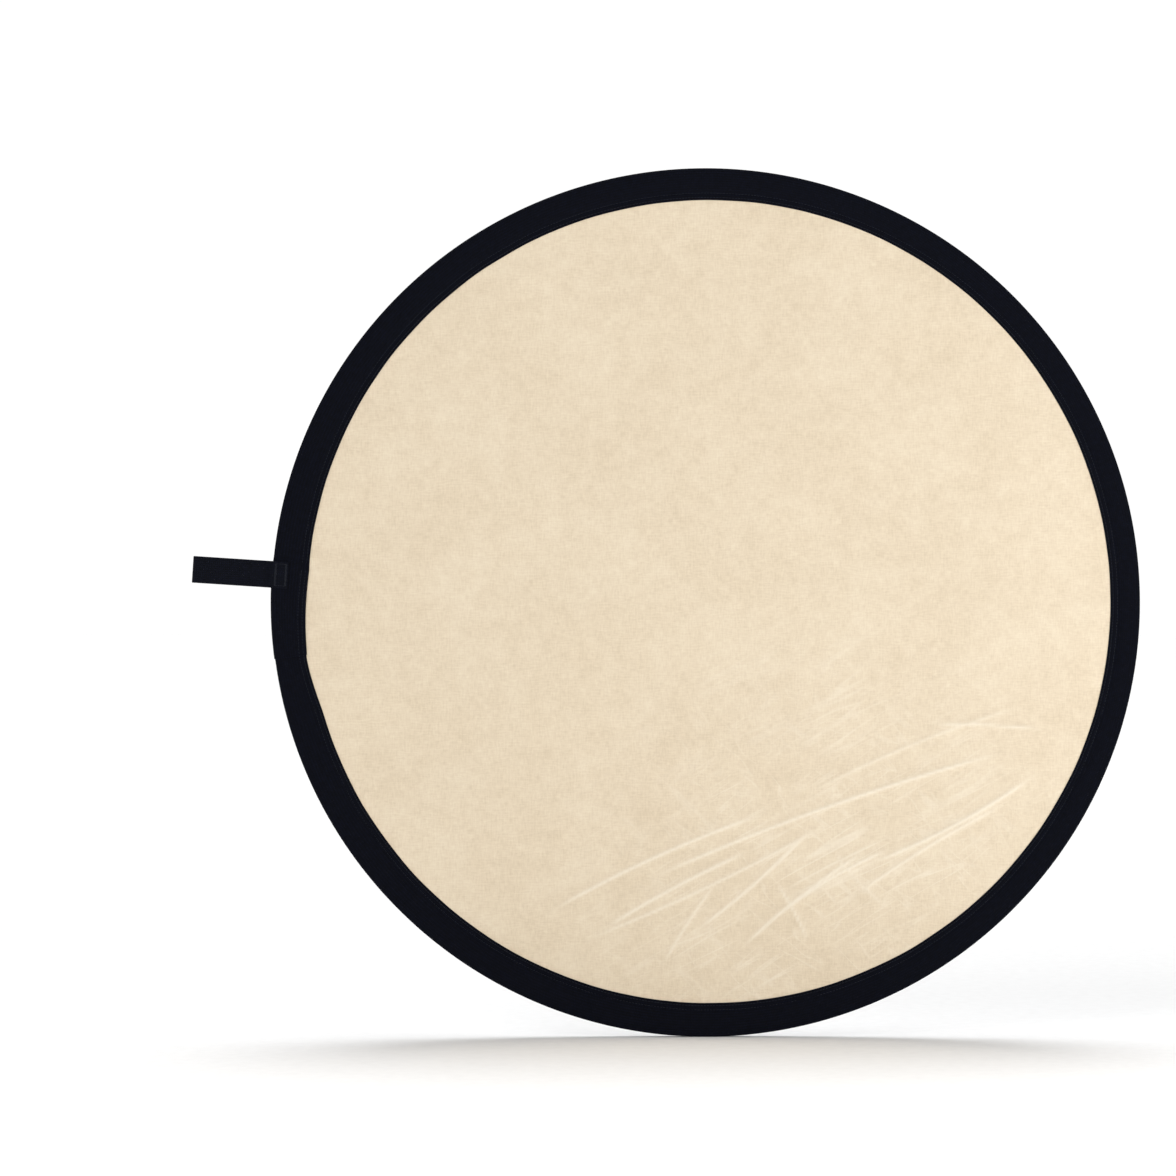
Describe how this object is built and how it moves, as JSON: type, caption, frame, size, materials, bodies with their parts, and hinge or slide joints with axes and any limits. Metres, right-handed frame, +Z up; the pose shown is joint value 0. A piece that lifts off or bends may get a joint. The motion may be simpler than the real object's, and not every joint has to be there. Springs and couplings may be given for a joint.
{
  "type": "collapsible reflector disc",
  "caption": "Round two-sided light reflector with cream-gold and silver faces, a sprung steel rim in black binding, and a hanging strap.",
  "frame": {"origin": "the lowest point of the rim, on the disc's mid plane, where it touches the floor when it stands upright", "axes": "+Z up across the disc, front (cream-gold) face towards -Y, back (silver) face towards +Y, the strap towards -X"},
  "size_m": [0.8867, 0.013, 0.812],
  "materials": {
    "cream_gold_fabric": "soft satin sheen, finely crinkled",
    "blockout_lining": "matte",
    "silver_fabric": "metallic satin, finely crinkled",
    "spring_steel": "blued, satin",
    "black_tape": "woven matte with a soft sheen",
    "black_thread": "twisted, matte",
    "webbing": "coarse woven, soft sheen",
    "zinc_sleeve": "zinc plated",
    "rivet": "satin",
    "cloth_tape": "matte"
  },
  "bodies": {
    "centre_panel": {"gold_face_centre": "cream_gold_fabric", "blockout_lining_centre": "blockout_lining", "silver_face_centre": "silver_fabric", "spring_hoop_centre": "spring_steel", "rim_binding_centre": "black_tape", "tunnel_seam_centre": "black_thread", "edge_seam_centre": "black_thread"},
    "left_inner_panel": {"gold_face_left_inner": "cream_gold_fabric", "blockout_lining_left_inner": "blockout_lining", "silver_face_left_inner": "silver_fabric", "spring_hoop_left_inner": "spring_steel", "rim_binding_left_inner": "black_tape", "tunnel_seam_left_inner": "black_thread", "edge_seam_left_inner": "black_thread"},
    "left_outer_panel": {"gold_face_left_outer": "cream_gold_fabric", "blockout_lining_left_outer": "blockout_lining", "silver_face_left_outer": "silver_fabric", "spring_hoop_left_outer": "spring_steel", "rim_binding_left_outer": "black_tape", "tunnel_seam_left_outer": "black_thread", "edge_seam_left_outer": "black_thread", "binding_lap": "black_tape", "strap_base": "webbing", "strap_tacks": "black_thread"},
    "right_inner_panel": {"gold_face_right_inner": "cream_gold_fabric", "blockout_lining_right_inner": "blockout_lining", "silver_face_right_inner": "silver_fabric", "spring_hoop_right_inner": "spring_steel", "rim_binding_right_inner": "black_tape", "tunnel_seam_right_inner": "black_thread", "edge_seam_right_inner": "black_thread"},
    "right_outer_panel": {"gold_face_right_outer": "cream_gold_fabric", "blockout_lining_right_outer": "blockout_lining", "silver_face_right_outer": "silver_fabric", "spring_hoop_right_outer": "spring_steel", "rim_binding_right_outer": "black_tape", "tunnel_seam_right_outer": "black_thread", "edge_seam_right_outer": "black_thread", "hoop_ferrule": "zinc_sleeve", "ferrule_rivets": "rivet", "ferrule_wrap": "cloth_tape"},
    "strap": {"strap_loop": "webbing"}
  },
  "joints": [
    {"name": "left_inner_bend", "type": "hinge", "parent": "centre_panel", "child": "left_inner_panel", "pos_m": [-0.0812, 0, 0.406], "axis": [0, 0, 1], "range_deg": [-30, 30], "stiffness_Nm_per_rad": 3},
    {"name": "left_outer_bend", "type": "hinge", "parent": "left_inner_panel", "child": "left_outer_panel", "pos_m": [-0.2436, 0, 0.406], "axis": [0, 0, 1], "range_deg": [-30, 30], "stiffness_Nm_per_rad": 3},
    {"name": "right_inner_bend", "type": "hinge", "parent": "centre_panel", "child": "right_inner_panel", "pos_m": [0.0812, 0, 0.406], "axis": [0, 0, -1], "range_deg": [-30, 30], "stiffness_Nm_per_rad": 3},
    {"name": "right_outer_bend", "type": "hinge", "parent": "right_inner_panel", "child": "right_outer_panel", "pos_m": [0.2436, 0, 0.406], "axis": [0, 0, -1], "range_deg": [-30, 30], "stiffness_Nm_per_rad": 3},
    {"name": "strap_fold", "type": "hinge", "parent": "left_outer_panel", "child": "strap", "pos_m": [-0.41413, 0, 0.43278], "axis": [0.0645, 0, 0.9979], "range_deg": [-120, 120], "stiffness_Nm_per_rad": 0.02}
  ],
  "couplings": [
    {"joint": "left_outer_bend", "follows": "left_inner_bend", "ratio": 1},
    {"joint": "right_inner_bend", "follows": "left_inner_bend", "ratio": 1},
    {"joint": "right_outer_bend", "follows": "left_inner_bend", "ratio": 1}
  ]
}
